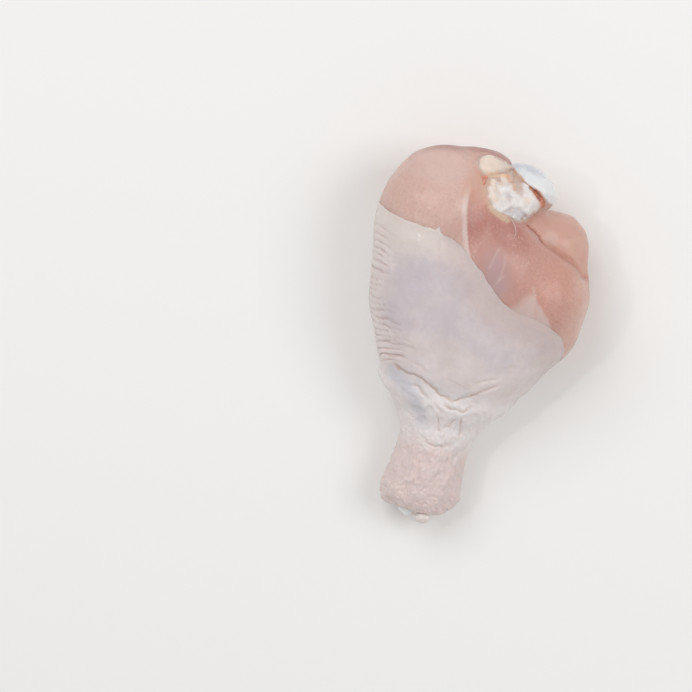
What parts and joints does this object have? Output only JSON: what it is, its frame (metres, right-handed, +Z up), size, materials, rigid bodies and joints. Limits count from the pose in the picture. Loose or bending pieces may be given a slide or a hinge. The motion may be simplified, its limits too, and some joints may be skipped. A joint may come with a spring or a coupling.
{
  "type": "raw chicken drumstick",
  "caption": "Raw chicken drumstick lying on its side: pink meat with a slanted sleeve of pale skin, a white cartilage bone head at the knee and a narrow skin-covered ankle.",
  "frame": {"origin": "on the table under the middle of the leg's footprint", "axes": "+Y along the leg from the ankle to the knee, +X towards the shin side, +Z up, away from the table"},
  "size_m": [0.0776, 0.1266, 0.0432],
  "materials": {
    "meat": "raw poultry leg meat: peach to mauve pink, wet sheen, pale silverskin streaks",
    "skin": "raw poultry skin: pinkish white, translucent, lavender where the meat shows through, fine wrinkles and follicles",
    "cartilage": "joint cartilage: smooth bluish white, wet gloss",
    "connective_tissue": "ligament and tendon: lumpy white, satin wet",
    "fat": "poultry fat: cream, soft satin"
  },
  "bodies": {
    "root": {"meat": "meat", "skin": "skin", "shank_bone": "cartilage", "knee_cartilage": "connective_tissue", "knee_fat": "fat", "ankle_tendon": "connective_tissue"}
  },
  "joints": []
}
